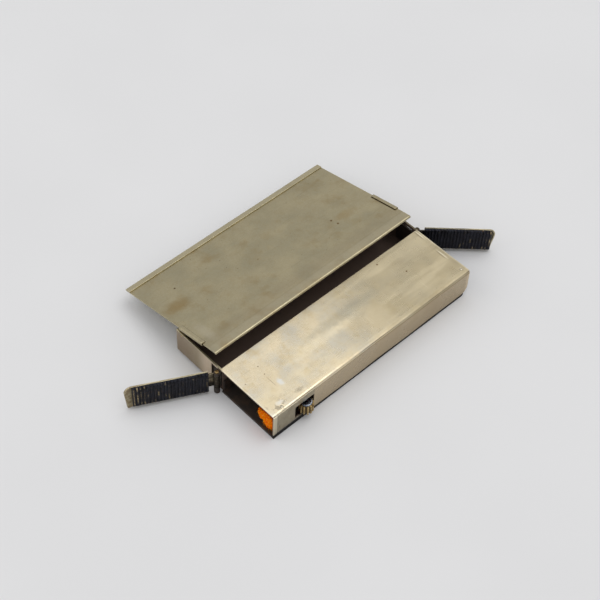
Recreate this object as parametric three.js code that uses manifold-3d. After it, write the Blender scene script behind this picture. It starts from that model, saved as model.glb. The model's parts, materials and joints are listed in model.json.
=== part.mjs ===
// A flat pocket striker lighter: a tinder cord in an open-ended front channel, an open tray behind it, a
// lid that slides in clips and rocks on the tray's rear corners, and a ribbed striker arm at each end.
// Millimetres and degrees, +Z up. The case lies flat with its front to -Y and its left end to -X, and the
// origin is the middle of its underside.

import * as THREE from 'three';
import { mergeVertices } from 'three/addons/utils/BufferGeometryUtils.js';
import Module from 'manifold-3d';

const wasm = await Module();
wasm.setup();

// Case
const caseLength = 80;
const caseWidth = 41.5;
const caseHeight = 10.4;
const sheet = 0.5;
const topPlateWidth = 22.3;
const trayBendRadius = 1.6;
const edgeBendRadius = 0.5;
const basePlateThickness = 0.8;
const baseFlangeHeight = 4.2;
const baseCornerRadius = 2.4;
const frontWallGap = 0.15;
const frontWallCornerRadius = 2.4;

// Wheel panel at the left of the front wall, its slot, and the shelf bent inwards below the slot
const panelLength = 15.5;
const panelGap = 0.5;
const panelTabLength = 5;
const panelTabWidth = 2.2;
const slotLength = 7.3;
const slotHeight = 5.55;
const slotSill = 0.55;
const shelfLength = 3.4;
const shelfDepth = 1.2;

// Rivets that hold the wheel panel's tab and the corner brace under the top plate
const rivetRadius = 0.45;
const rivetHeadRadius = 0.8;
const rivetHeadHeight = 0.4;
const tabRivetInset = [4.2, 1.5];
const braceRivetInset = [1.6, 2.3];
const braceLength = 4;
const braceDepth = 3.6;
const braceDrop = 3;

// Hinges of the two striker arms, on a vertical axis just outside each end
const knuckleRadius = 0.9;
const hingeSetback = 0.6;
const hingePinRadius = 0.4;
const hingePinHeadRadius = 0.6;
const hingePinHeadHeight = 0.4;
const groundGap = 0.3;
const lowerKnuckleHeight = 2.1;
const upperKnuckleHeight = 0.9;
const rimStripHeight = 0.9;
const notchReach = 3.3;
const leafThickness = 0.5;
const leafLength = 6.9;
const webThickness = 0.5;

// Striker arms, drawn closed: the arm points to -Y and its ribs face into the case
const armDrop = 1;
const armSheet = 0.45;
const neckLength = 2.4;
const armOverhangLeft = 1.8;
const armOverhangRight = 1;
const armOpenLeft = 118;
const armOpenRight = 46;
const tipLengthLeft = 2.1;
const tipLengthRight = 0.8;
const tipBendLeft = 20;
const tipBendRight = 60;
const tipTopRadius = 1.8;
const tipBottomRadius = 0.5;
const tipSlant = 0.8;
const ribPitch = 1;
const ribDepth = 0.38;
const ribRoot = 0.32;
const stripTopMargin = 0.1;
const stripBottomMargin = 1;

// Lid, its carrier and their clips, drawn flat. The lid is slid back from its front stop.
const lidEndInset = 0.6;
const lidOverhang = 0.4;
const lidSheet = 0.35;
const lidTilt = 12.5;
const lidSlidBack = 23.4;
const lidLift = 0.5;
const hemWidth = 2.1;
const lipDrop = 0.75;
const lipRadius = 0.6;
const pivotInset = 2.1;
const pivotDepth = 1.1;
const pivotPinRadius = 0.4;
const earRadius = 0.9;
const earThickness = 0.5;
const carrierSheet = 0.25;
const carrierWidth = 10.4;
const carrierHeel = 0.8;
const clipFold = 1.3;

// Feed wheel, on a stud that stands on the wheel panel's shelf
const wheelInset = [12.8, 0.4];
const wheelRadius = 2.3;
const wheelHeight = 3.4;
const wheelTeeth = 12;
const toothDepth = 0.4;
const collarRadius = 1.7;
const collarHeight = 0.55;
const collarHoleRadius = 0.75;
const axleRadius = 0.5;
const axleTailRadius = 0.3;
const axleFootRadius = 0.9;
const axleFootHeight = 0.2;
const axleHeight = 3.2;

// Tinder cord and what presses it to the wheel
const cordRadius = 3.6;
const cordEndInset = 0.7;
const cordLength = 54;
const cordTuftLength = 3;
const cordFlatLength = 22;
const guideThickness = 0.4;
const guideInset = 6;
const guideLength = 50;
const guideFoot = 4;
const guideHeight = 7.6;
const springLength = 12;
const springSteps = 12;
const springBow = 1;
const springTailLength = 3;
const springHeight = 3;
const springThickness = 0.3;
const springRivetRadius = 0.5;
const springRivetHeadRadius = 0.9;
const springRivetHeadHeight = 0.35;

// Clearances
const runningGap = 0.3;
const slidingGap = 0.15;
const turningGap = 0.15;
const pinGap = 0.05;

// Places that follow from the sizes above
const endFace = caseLength / 2;
const frontFace = -caseWidth / 2;
const rearFace = caseWidth / 2;
const wallInner = frontFace + sheet;
const endInner = endFace - sheet;
const topPlateRear = frontFace + topPlateWidth;
const trayFront = topPlateRear - sheet;
const underTop = caseHeight - sheet;
const frontWallBottom = basePlateThickness + frontWallGap;

const panelRight = -endFace + panelLength;
const panelBottom = basePlateThickness + panelGap;
const slotBottom = panelBottom + slotSill;
const slotTop = slotBottom + slotHeight;

const hingeX = endFace + knuckleRadius;
const hingeY = topPlateRear + hingeSetback;
const notchRear = hingeY + notchReach;
const notchTop = caseHeight - rimStripHeight;
const lowerKnuckleTop = groundGap + lowerKnuckleHeight;
const upperKnuckleTop = notchTop - runningGap;
const upperKnuckleBottom = upperKnuckleTop - upperKnuckleHeight;
const leafFront = topPlateRear + runningGap;
const leafBottom = trayBendRadius + runningGap;
const armTop = caseHeight - armDrop;
const armSpan = hingeY - frontFace;

const pivotY = rearFace - pivotInset;
const pivotZ = caseHeight - pivotDepth;
const carrierUnder = pivotDepth + lidLift;
const carrierFront = carrierHeel - carrierWidth;
const lidUnder = carrierUnder + carrierSheet + slidingGap;
const lidTop = lidUnder + lidSheet;
const clipUnder = lidTop + slidingGap;
const clipTop = clipUnder + carrierSheet;
const lidEnd = endFace - lidEndInset;
const clipInner = lidEnd + slidingGap;
const clipOuter = clipInner + carrierSheet;
const earOuter = endInner - runningGap;
const lidRear = carrierHeel + runningGap + hemWidth + lidSlidBack;
const lidFront = lidRear - (caseWidth + lidOverhang);

const wheelX = -endFace + wheelInset[0];
const wheelY = frontFace + wheelInset[1];
const wheelBottom = slotBottom + axleFootHeight + slidingGap;
const wheelTop = wheelBottom + wheelHeight;
const cordY = wallInner + runningGap + cordRadius;
const cordZ = basePlateThickness + runningGap + cordRadius;
const cordLeft = -endFace + cordEndInset;
const guideFront = cordY + cordRadius + runningGap + springBow + springThickness;
const springTail = wheelX + springLength / 2;
const roundSegments = 20;

const radians = THREE.MathUtils.degToRad;

// Materials
function metal(color, roughness, metalness = 1) {
  return new THREE.MeshStandardMaterial({ color, roughness, metalness, flatShading: true });
}

const nickel = metal('#c9bf9f', 0.35);
const nickelWorn = metal('#a89d80', 0.45);
const nickelFront = metal('#9c8e72', 0.4);
const blackSteel = metal('#2b2724', 0.6, 0.7);
const bluedSteel = metal('#20232b', 0.5, 0.8);
const springSteel = metal('#5a5f66', 0.4);
const brightSteel = metal('#9aa2ab', 0.25);
const brass = metal('#9a8355', 0.45);
const tinder = new THREE.MeshStandardMaterial({ color: '#c8640f', roughness: 1, metalness: 0, flatShading: true });

// Outline of a closed shape from corners [a, b, radius], each radius rounded by a short arc
function outline(corners, segments = 6) {
  const points = [];
  corners.forEach(([a, b, radius = 0], index) => {
    const corner = new THREE.Vector2(a, b);
    if (radius === 0) {
      points.push(corner);
      return;
    }
    const [beforeA, beforeB] = corners[(index + corners.length - 1) % corners.length];
    const [afterA, afterB] = corners[(index + 1) % corners.length];
    const toBefore = new THREE.Vector2(beforeA, beforeB).sub(corner).normalize();
    const toAfter = new THREE.Vector2(afterA, afterB).sub(corner).normalize();
    const halfAngle = Math.acos(THREE.MathUtils.clamp(toBefore.dot(toAfter), -1, 1)) / 2;
    const middle = toBefore.clone().add(toAfter).normalize();
    const centre = corner.clone().addScaledVector(middle, radius / Math.sin(halfAngle));
    const start = corner.clone().addScaledVector(toBefore, radius / Math.tan(halfAngle)).sub(centre);
    const end = corner.clone().addScaledVector(toAfter, radius / Math.tan(halfAngle)).sub(centre);
    const turn = Math.atan2(start.cross(end), start.dot(end));
    for (let step = 0; step <= segments; step += 1) {
      const point = start.clone().rotateAround(new THREE.Vector2(), (turn * step) / segments);
      points.push(point.add(centre));
    }
  });
  return new THREE.Shape(points);
}

// A prism from an outline in the XY plane, from z0 to z1
function prismZ(shape, z0, z1) {
  return new THREE.ExtrudeGeometry(shape, { depth: z1 - z0, bevelEnabled: false }).translate(0, 0, z0);
}

// A prism from an outline in the YZ plane, from x0 to x1
function prismX(shape, x0, x1) {
  const geometry = new THREE.ExtrudeGeometry(shape, { depth: x1 - x0, bevelEnabled: false });
  const axes = new THREE.Matrix4().makeBasis(
    new THREE.Vector3(0, 1, 0), new THREE.Vector3(0, 0, 1), new THREE.Vector3(1, 0, 0));
  return geometry.applyMatrix4(axes).translate(x0, 0, 0);
}

// A prism from an outline in the XZ plane, from y0 to y1
function prismY(shape, y0, y1) {
  const geometry = new THREE.ExtrudeGeometry(shape, { depth: y1 - y0, bevelEnabled: false });
  return geometry.rotateX(Math.PI / 2).translate(0, y1, 0);
}

function box(x0, x1, y0, y1, z0, z1) {
  const geometry = new THREE.BoxGeometry(Math.abs(x1 - x0), Math.abs(y1 - y0), Math.abs(z1 - z0));
  return geometry.translate((x0 + x1) / 2, (y0 + y1) / 2, (z0 + z1) / 2);
}

// A rod along Z, or along X where asked
function rodZ(radius, z0, z1, x = 0, y = 0, segments = roundSegments) {
  const geometry = new THREE.CylinderGeometry(radius, radius, z1 - z0, segments);
  return geometry.rotateX(Math.PI / 2).translate(x, y, (z0 + z1) / 2);
}

function rodX(radius, x0, x1, y = 0, z = 0, segments = roundSegments) {
  const geometry = new THREE.CylinderGeometry(radius, radius, Math.abs(x1 - x0), segments);
  return geometry.rotateZ(Math.PI / 2).translate((x0 + x1) / 2, y, z);
}

// Joining and cutting
function toSolid(geometry) {
  const bare = geometry.clone();
  bare.deleteAttribute('normal');
  bare.deleteAttribute('uv');
  const merged = mergeVertices(bare, 1e-5);
  return new wasm.Manifold(new wasm.Mesh({
    numProp: 3,
    vertProperties: new Float32Array(merged.attributes.position.array),
    triVerts: new Uint32Array(merged.index.array),
  }));
}

function toGeometry(solid) {
  const mesh = solid.getMesh();
  const geometry = new THREE.BufferGeometry();
  geometry.setAttribute('position', new THREE.BufferAttribute(mesh.vertProperties, 3));
  geometry.setIndex(new THREE.BufferAttribute(mesh.triVerts, 1));
  return geometry;
}

function join(...geometries) {
  return toGeometry(geometries.map(toSolid).reduce((whole, piece) => whole.add(piece)));
}

function cut(base, ...tools) {
  return toGeometry(tools.map(toSolid).reduce((rest, tool) => rest.subtract(tool), toSolid(base)));
}

function common(first, second) {
  return toGeometry(toSolid(first).intersect(toSolid(second)));
}

function addPiece(parent, name, geometry, material) {
  const mesh = new THREE.Mesh(geometry, material);
  mesh.name = name;
  parent.add(mesh);
}

const lighter = new THREE.Group();

// Tray: floor, rear wall and end walls of one sheet bent up, with a front wall that parts it from the channel
function trayBlank(inset, front, top) {
  const radius = trayBendRadius - inset;
  const end = endFace - inset;
  const rear = rearFace - inset;
  const across = outline([[-end, inset, radius], [end, inset, radius], [end, top], [-end, top]]);
  const along = outline([[front, inset], [rear, inset, radius], [rear, top], [front, top]]);
  return common(prismY(across, front - 1, rear + 1), prismX(along, -caseLength, caseLength));
}

function rearTray() {
  const over = caseHeight + 1;
  const cutters = [
    trayBlank(sheet, topPlateRear, over),
    box(-caseLength, caseLength, trayFront - 1, topPlateRear, underTop, over),
  ];
  for (const side of [-1, 1]) {
    cutters.push(box(side * endInner, side * (endFace + 1), trayFront - 1, notchRear, sheet, notchTop));
    cutters.push(rodX(pivotPinRadius + pinGap, side * (endFace - 1), side * (endFace + 1), pivotY, pivotZ));
  }
  return cut(trayBlank(0, trayFront, caseHeight), ...cutters);
}

addPiece(lighter, 'rear_tray', rearTray(), nickelWorn);

// Base plate of the front channel, with a flange up the tray's front wall
function basePlate() {
  const plan = outline([
    [-endFace, frontFace],
    [endFace, frontFace, baseCornerRadius],
    [endFace, trayFront],
    [-endFace, trayFront],
  ]);
  const flangeTop = basePlateThickness + baseFlangeHeight;
  const flange = box(-endInner, endInner, trayFront - sheet, trayFront, basePlateThickness / 2, flangeTop);
  return join(prismZ(plan, 0, basePlateThickness), flange);
}

addPiece(lighter, 'base_plate', basePlate(), blackSteel);

// Front cover: the top plate, folded down at its front edge into the right-hand length of the front wall
const tabRivet = [-endFace + tabRivetInset[0], frontFace + tabRivetInset[1]];
const braceRivet = [endFace - braceRivetInset[0], frontFace + braceRivetInset[1]];

function frontCover() {
  const fold = outline([
    [frontFace, frontWallBottom],
    [frontFace, caseHeight, edgeBendRadius],
    [topPlateRear, caseHeight],
    [topPlateRear, underTop],
    [wallInner, underTop],
    [wallInner, frontWallBottom],
  ]);
  const folded = prismX(fold, -endFace, endFace);
  const panelRoom = box(-caseLength, panelRight, frontFace - 1, wallInner + 1, -1, underTop);
  const faceOutline = outline([
    [-endFace, frontWallBottom],
    [endFace, frontWallBottom, frontWallCornerRadius],
    [endFace, caseHeight],
    [-endFace, caseHeight],
  ]);
  const rounded = common(folded, prismY(faceOutline, frontFace - 1, topPlateRear + 1));
  const holes = [tabRivet, braceRivet].map((place) => rivetHole(...place));
  return cut(rounded, panelRoom, ...holes);
}

function rivetHole(x, y) {
  return rodZ(rivetRadius + pinGap, underTop - sheet - 1, caseHeight + 1, x, y);
}

addPiece(lighter, 'front_cover', frontCover(), nickel);

// Wheel panel: the left-hand length of the front wall, slotted for the wheel, with a tab under the top plate
function wheelPanel() {
  const wall = box(-endFace, panelRight - pinGap, frontFace, wallInner, panelBottom, underTop);
  const tabStart = tabRivet[0] - panelTabLength / 2;
  const tabEnd = tabRivet[0] + panelTabLength / 2;
  const tab = box(tabStart, tabEnd, frontFace, wallInner + panelTabWidth, underTop - sheet, underTop);
  const shelfLeft = wheelX - shelfLength / 2;
  const shelfRight = wheelX + shelfLength / 2;
  const shelfRear = wallInner + shelfDepth;
  const slot = box(panelRight - slotLength, panelRight + 1, frontFace - 1, shelfRear + 1, slotBottom, slotTop);
  const shelf = box(shelfLeft, shelfRight, frontFace, shelfRear, slotBottom - sheet, slotBottom);
  const studHole = rodZ(axleTailRadius + pinGap, panelBottom - 1, slotBottom + 1, wheelX, wheelY);
  return cut(join(wall, tab, shelf), slot, studHole, rivetHole(...tabRivet));
}

addPiece(lighter, 'wheel_panel', wheelPanel(), nickelFront);

// Corner brace: an angle behind the right-hand front corner, below the top plate
function cornerBrace() {
  const braceEnd = endFace - runningGap;
  const angle = outline([
    [wallInner, underTop - braceDrop],
    [wallInner, underTop],
    [wallInner + braceDepth, underTop],
    [wallInner + braceDepth, underTop - sheet],
    [wallInner + sheet, underTop - sheet],
    [wallInner + sheet, underTop - braceDrop],
  ]);
  return cut(prismX(angle, braceEnd - braceLength, braceEnd), rivetHole(...braceRivet));
}

addPiece(lighter, 'corner_brace', cornerBrace(), nickelWorn);

// A round piece along Z from its outline [radius, height], turned about its axis
function turned(marks) {
  const profile = marks.map(([radius, z]) => new THREE.Vector2(radius, z));
  return new THREE.LatheGeometry(profile, roundSegments).rotateX(Math.PI / 2);
}

// Cover rivets: flush above, headed below the tab and the brace
function coverRivet(x, y) {
  const headTop = underTop - sheet;
  const headBottom = headTop - rivetHeadHeight;
  const rivet = turned([[0, headBottom], [rivetHeadRadius, headBottom], [rivetHeadRadius, headTop],
    [rivetRadius, headTop], [rivetRadius, caseHeight], [0, caseHeight]]);
  return rivet.translate(x, y, 0);
}

addPiece(lighter, 'cover_rivet_left', coverRivet(...tabRivet), brightSteel);
addPiece(lighter, 'cover_rivet_right', coverRivet(...braceRivet), brightSteel);

// Arm hinges: a leaf inside each end wall, with two fixed knuckles outside it and a pin through them
function hingeLeaf(side) {
  const leafInner = side * (endInner - leafThickness);
  const axis = side * hingeX;
  const webRear = hingeY + knuckleRadius;
  const pieces = [box(leafInner, side * endInner, leafFront, leafFront + leafLength, leafBottom, upperKnuckleTop)];
  for (const [bottom, top] of [[groundGap, lowerKnuckleTop], [upperKnuckleBottom, upperKnuckleTop]]) {
    const webBottom = Math.max(bottom, leafBottom);
    pieces.push(rodZ(knuckleRadius, bottom, top, axis, hingeY));
    pieces.push(box(leafInner, axis, webRear - webThickness, webRear, webBottom, top));
  }
  return cut(join(...pieces), rodZ(hingePinRadius + pinGap, -1, caseHeight + 1, axis, hingeY));
}

function hingePin(side) {
  const headTop = upperKnuckleTop + hingePinHeadHeight;
  const pin = turned([[0, groundGap], [hingePinRadius, groundGap], [hingePinRadius, upperKnuckleTop],
    [hingePinHeadRadius, upperKnuckleTop], [hingePinHeadRadius, headTop], [0, headTop]]);
  return pin.translate(side * hingeX, hingeY, 0);
}

// Arm plate: a knuckle, a neck, the plate and its bent tip. The tip's top corner is round and its end slants.
function armPlate({ side, reach, tipLength, tipBend }) {
  const outer = -knuckleRadius;
  const inner = outer + armSheet;
  const bend = radians(tipBend);
  const tipAlong = new THREE.Vector2(Math.sin(bend), -Math.cos(bend));
  const tipAcross = new THREE.Vector2(Math.cos(bend), Math.sin(bend));
  const heel = new THREE.Vector2(outer, -reach);
  const tipOuter = heel.clone().addScaledVector(tipAlong, tipLength);
  const tipInner = tipOuter.clone().addScaledVector(tipAcross, armSheet);
  const plan = [[outer, 0], [heel.x, heel.y], [tipOuter.x, tipOuter.y], [tipInner.x, tipInner.y],
    [inner, crookPlace(reach, tipBend)], [inner, 0]].map(([x, y]) => [side * -x, y]);
  const far = tipOuter.y;
  const neckBottom = lowerKnuckleTop + slidingGap;
  const neckTop = upperKnuckleBottom - slidingGap;
  const elevation = outline([
    [knuckleRadius, neckBottom], [-neckLength, neckBottom], [-neckLength, groundGap],
    [far + tipSlant, groundGap, tipBottomRadius], [far, armTop, tipTopRadius],
    [-neckLength, armTop], [-neckLength, neckTop], [knuckleRadius, neckTop],
  ]);
  const plate = common(prismZ(outline(plan), groundGap, armTop), prismX(elevation, -caseLength, caseLength));
  const knuckle = rodZ(knuckleRadius, neckBottom, neckTop);
  const bore = rodZ(hingePinRadius + turningGap, -1, caseHeight + 1);
  return cut(join(plate, knuckle), bore);
}

// Where the plate's inner face meets the bent tip
function crookPlace(reach, tipBend) {
  return -reach + armSheet * Math.tan(radians(tipBend) / 2);
}

// Striker: a steel strip along the plate's inner face, its ribs standing upright
function strikerStrip({ side, reach, tipBend }) {
  const back = -knuckleRadius + armSheet + runningGap;
  const root = back + ribRoot;
  const crest = root + ribDepth;
  const start = crookPlace(reach, tipBend) + runningGap;
  const length = -neckLength - start;
  const ribCount = Math.round(length / ribPitch);
  const pitch = length / ribCount;
  const points = [[back, start]];
  for (let rib = 0; rib < ribCount; rib += 1) {
    const marks = [[0, root], [0.3, crest], [0.6, crest], [0.95, root]];
    marks.forEach(([share, x]) => points.push([x, start + (rib + share) * pitch]));
  }
  points.push([root, -neckLength], [back, -neckLength]);
  const plan = outline(points.map(([x, y]) => [side * -x, y]));
  return prismZ(plan, groundGap + stripBottomMargin, armTop - stripTopMargin);
}

const arms = [
  {
    label: 'left', side: -1, open: -armOpenLeft, reach: armSpan + armOverhangLeft,
    tipLength: tipLengthLeft, tipBend: tipBendLeft,
  },
  {
    label: 'right', side: 1, open: armOpenRight, reach: armSpan + armOverhangRight,
    tipLength: tipLengthRight, tipBend: tipBendRight,
  },
];

for (const arm of arms) {
  const { label, side } = arm;
  addPiece(lighter, `hinge_leaf_${label}`, hingeLeaf(side), blackSteel);
  addPiece(lighter, `hinge_pin_${label}`, hingePin(side), brass);
  const swing = new THREE.Group();
  swing.position.set(side * hingeX, hingeY, 0);
  swing.rotation.z = radians(arm.open);
  addPiece(swing, `arm_plate_${label}`, armPlate(arm), nickelWorn);
  addPiece(swing, `striker_${label}`, strikerStrip(arm), bluedSteel);
  lighter.add(swing);
}

// Lid carrier: a strip under the lid, clipped round its ends, on two ears that pivot inside the tray
function lidCarrier() {
  const rightHalf = [
    [clipOuter, carrierUnder], [clipOuter, clipTop], [clipOuter - clipFold, clipTop],
    [clipOuter - clipFold, clipUnder], [clipInner, clipUnder], [clipInner, carrierUnder + carrierSheet],
  ];
  const leftHalf = rightHalf.map(([x, z]) => [-x, z]).reverse();
  const pieces = [prismY(outline([...rightHalf, ...leftHalf]), carrierFront, carrierHeel)];
  for (const side of [-1, 1]) {
    const inner = side * (earOuter - earThickness);
    const outer = side * earOuter;
    pieces.push(rodX(earRadius, inner, outer));
    pieces.push(box(inner, outer, -earRadius, carrierHeel, 0, carrierUnder + carrierSheet / 2));
  }
  return cut(join(...pieces), rodX(pivotPinRadius + turningGap, -caseLength, caseLength));
}

function pivotPin(side) {
  const inner = earOuter - earThickness - runningGap;
  return rodX(pivotPinRadius, side * inner, side * endFace, pivotY, pivotZ);
}

// Lid: a plate with a hem folded over along its rear edge and a lip turned down along its front edge
function lidPlate() {
  const hemTop = lidTop + lidSheet;
  const section = outline([
    [lidFront, lidTop, lipRadius],
    [lidRear - hemWidth, lidTop],
    [lidRear - hemWidth, hemTop],
    [lidRear, hemTop, lidSheet / 2],
    [lidRear, lidUnder, lidSheet / 2],
    [lidFront + lidSheet, lidUnder],
    [lidFront + lidSheet, lidTop - lipDrop],
    [lidFront, lidTop - lipDrop],
  ]);
  return prismX(section, -lidEnd, lidEnd);
}

const carrier = new THREE.Group();
carrier.position.set(0, pivotY, pivotZ);
carrier.rotation.x = -radians(lidTilt);
addPiece(carrier, 'lid_carrier', lidCarrier(), nickelWorn);
addPiece(carrier, 'lid_plate', lidPlate(), nickelWorn);
lighter.add(carrier);
addPiece(lighter, 'carrier_pin_left', pivotPin(-1), brass);
addPiece(lighter, 'carrier_pin_right', pivotPin(1), brass);

// Feed wheel on its stud, with a steel collar on its top face
function feedWheel() {
  const pitch = (2 * Math.PI) / wheelTeeth;
  const rootRadius = wheelRadius - toothDepth;
  const points = [];
  for (let tooth = 0; tooth < wheelTeeth; tooth += 1) {
    const marks = [[-0.32, rootRadius], [-0.2, wheelRadius], [0.2, wheelRadius], [0.32, rootRadius]];
    for (const [share, radius] of marks) {
      const angle = (tooth + share) * pitch;
      points.push([radius * Math.cos(angle), radius * Math.sin(angle)]);
    }
  }
  const bore = rodZ(axleRadius + turningGap, wheelBottom - 1, wheelTop + 1);
  return cut(prismZ(outline(points), wheelBottom, wheelTop), bore);
}

function wheelCollar() {
  const ring = rodZ(collarRadius, wheelTop, wheelTop + collarHeight);
  return cut(ring, rodZ(collarHoleRadius, wheelTop - 1, wheelTop + collarHeight + 1));
}

function wheelAxle() {
  const tailEnd = slotBottom - sheet;
  const footTop = slotBottom + axleFootHeight;
  const top = footTop + axleHeight;
  return turned([[0, tailEnd], [axleTailRadius, tailEnd], [axleTailRadius, slotBottom],
    [axleFootRadius, slotBottom], [axleFootRadius, footTop], [axleRadius, footTop], [axleRadius, top], [0, top]]);
}

const wheel = new THREE.Group();
wheel.position.set(wheelX, wheelY, 0);
addPiece(wheel, 'feed_wheel', feedWheel(), brass);
addPiece(wheel, 'wheel_collar', wheelCollar(), brightSteel);
addPiece(wheel, 'wheel_axle', wheelAxle(), blackSteel);
lighter.add(wheel);

// Tinder cord: a round cord pressed flat where the wheel works on it, its tuft left round
function tinderCord() {
  const cord = rodX(cordRadius, cordLeft, cordLeft + cordLength, cordY, cordZ);
  const flatStart = cordLeft + cordTuftLength;
  const flatFace = wheelY + wheelRadius + runningGap;
  return cut(cord, box(flatStart, flatStart + cordFlatLength, frontFace, flatFace, 0, caseHeight));
}

addPiece(lighter, 'tinder_cord', tinderCord(), tinder);

// Cord guide: an angle on the base plate behind the cord
const springRivetX = springTail + springTailLength / 2;

function springRivetHole() {
  const hole = new THREE.Shape();
  hole.absarc(springRivetX, cordZ, springRivetRadius + pinGap, 0, 2 * Math.PI);
  return prismY(hole, guideFront - springThickness - 1, guideFront + guideThickness + 1);
}

function cordGuide() {
  const footTop = basePlateThickness + guideThickness;
  const wallTop = basePlateThickness + guideHeight;
  const angle = outline([
    [guideFront, basePlateThickness],
    [guideFront + guideFoot, basePlateThickness],
    [guideFront + guideFoot, footTop],
    [guideFront + guideThickness, footTop],
    [guideFront + guideThickness, wallTop],
    [guideFront, wallTop],
  ]);
  const left = -endFace + guideInset;
  return cut(prismX(angle, left, left + guideLength), springRivetHole());
}

addPiece(lighter, 'cord_guide', cordGuide(), blackSteel);

// Pressure spring: a leaf bowed from the guide towards the cord behind the wheel, riveted at its tail
function pressureSpring() {
  const front = [];
  const back = [];
  for (let step = 0; step < springSteps; step += 1) {
    const share = step / springSteps;
    const x = springTail - springLength * (1 - share);
    const bow = springBow * Math.sin(Math.PI * share) + pinGap * (1 - share);
    front.push([x, guideFront - springThickness - bow]);
    back.push([x, guideFront - bow]);
  }
  const end = springTail + springTailLength;
  const plan = [...front, [springTail, guideFront - springThickness], [end, guideFront - springThickness],
    [end, guideFront], [springTail, guideFront], ...back.reverse()];
  const leaf = prismZ(outline(plan), cordZ - springHeight / 2, cordZ + springHeight / 2);
  return cut(leaf, springRivetHole());
}

addPiece(lighter, 'pressure_spring', pressureSpring(), springSteel);

function springRivet() {
  const headEnd = springThickness + springRivetHeadHeight;
  const rivet = turned([[0, -guideThickness], [springRivetRadius, -guideThickness],
    [springRivetRadius, springThickness], [springRivetHeadRadius, springThickness],
    [springRivetHeadRadius, headEnd], [0, headEnd]]);
  return rivet.rotateX(Math.PI / 2).translate(springRivetX, guideFront, cordZ);
}

addPiece(lighter, 'spring_rivet', springRivet(), brightSteel);

export default lighter;
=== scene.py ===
# A flat pocket striker lighter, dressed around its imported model: worn warm nickel, blackened and blued
# steel, a toothed brass wheel and a fuzzy orange tinder cord. Metres, +Z up, front to -Y, left end to -X.
# The shape functions work in millimetres and turn into metres where a mesh is made. Colours are sRGB
# triples of 0 to 255.

import json
import random
from math import acos, atan2, ceil, cos, exp, hypot, pi, radians, sin, sqrt, tan

import bmesh
import bpy
from mathutils import Matrix, Vector, noise


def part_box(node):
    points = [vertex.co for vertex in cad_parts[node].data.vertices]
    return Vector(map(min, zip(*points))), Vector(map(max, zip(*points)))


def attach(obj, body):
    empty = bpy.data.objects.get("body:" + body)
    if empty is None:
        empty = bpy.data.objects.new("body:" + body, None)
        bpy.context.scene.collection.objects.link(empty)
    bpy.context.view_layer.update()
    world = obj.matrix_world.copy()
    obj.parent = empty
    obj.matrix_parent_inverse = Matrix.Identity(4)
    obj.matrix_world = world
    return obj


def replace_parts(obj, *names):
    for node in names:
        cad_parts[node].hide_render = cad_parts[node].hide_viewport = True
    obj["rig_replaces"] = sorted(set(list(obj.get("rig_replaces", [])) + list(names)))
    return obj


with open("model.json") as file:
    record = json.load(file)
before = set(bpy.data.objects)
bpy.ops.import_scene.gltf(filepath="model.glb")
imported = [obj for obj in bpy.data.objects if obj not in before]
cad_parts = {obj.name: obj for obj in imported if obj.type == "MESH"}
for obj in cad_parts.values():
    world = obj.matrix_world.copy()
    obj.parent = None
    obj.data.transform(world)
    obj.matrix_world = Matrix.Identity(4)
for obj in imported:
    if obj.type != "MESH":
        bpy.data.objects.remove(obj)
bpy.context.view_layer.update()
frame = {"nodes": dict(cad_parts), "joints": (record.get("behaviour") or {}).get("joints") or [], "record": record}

MM = 0.001

# The colour sockets of a mix node
MIX_SHARE, MIX_FIRST, MIX_SECOND, MIX_RESULT = 0, 6, 7, 2

# Camera, fitted to the case, the lid and the arms in the photograph
CAMERA_AZIMUTH = radians(-45.427)
CAMERA_ELEVATION = radians(50.593)
CAMERA_ROLL = radians(2.836)
CAMERA_DISTANCE = 0.42077
CAMERA_TARGET = Vector((0.00008, 0.01103, 0))
CAMERA_LENS = 83.34
SENSOR_WIDTH = 36

# Sheet metal of the case and lid
SHEET = 0.5
FOLD_RADIUS = 0.95
WALL_CORNER = 2.4
RIVET_HOLE = 0.5
LID_SHEET = 0.33
HEM_WIDTH = 2.1
HEM_GAP = 0.04
LIP_DROP = 0.75
LIP_RADIUS = 0.6
CREASE_FROM_FRONT = 3.4
CREASE_DROP = 0.12
CARRIER_SHEET = 0.25
CARRIER_GAP = 0.15
CLIP_FOLD = 1.3
EAR_RADIUS = 0.9
EAR_HEEL = 0.8
EAR_THICK = 0.5
EAR_GAP = 0.3
PIVOT_HOLE = 0.55

# Wheel panel and what is under it
SEAM = 0.05
PANEL_STRIP = 1.4
PANEL_LIFT = 0.45
STRIP_THICK = 0.38
TAB_WIDTH = 5
SHELF_WIDTH = 3.4
SHELF_REACH = 1.2
SLOT_WIDTH = 7.3
SLOT_HEIGHT = 5.55
SLOT_STEP = 0.4
SLOT_STEP_RUN = 1.6
SLOT_CORNER = 0.35
STUD_HOLE = 0.35

# Arms
ARM_SHEET = 0.45
KNUCKLE = 0.9
CURL = radians(295)
NECK = 2.4
NECK_BOTTOM = 2.55
NECK_TOP = 8.15
BEND_RADIUS = 0.5
TIP_TOP_RADIUS = 1.8
TIP_BOTTOM_RADIUS = 0.5
TIP_SLANT = 0.8
RIB_PITCH = 1.0
RIB_DEPTH = 0.38
RIB_ROOT = 0.62
ARM_LEVELS = 22
ARM_SHAPES = {
    "left": {"side": -1, "reach": 24.7, "tip": 2.1, "bend": radians(20), "worn": -0.45},
    "right": {"side": 1, "reach": 23.9, "tip": 0.8, "bend": radians(60), "worn": -0.75},
}

# Feed wheel and its collar
WHEEL_TEETH = 12
TOOTH_DEPTH = 0.5
WHEEL_BORE = 0.65
COLLAR_BORE = 0.4
COLLAR_DISH = 0.14

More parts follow.
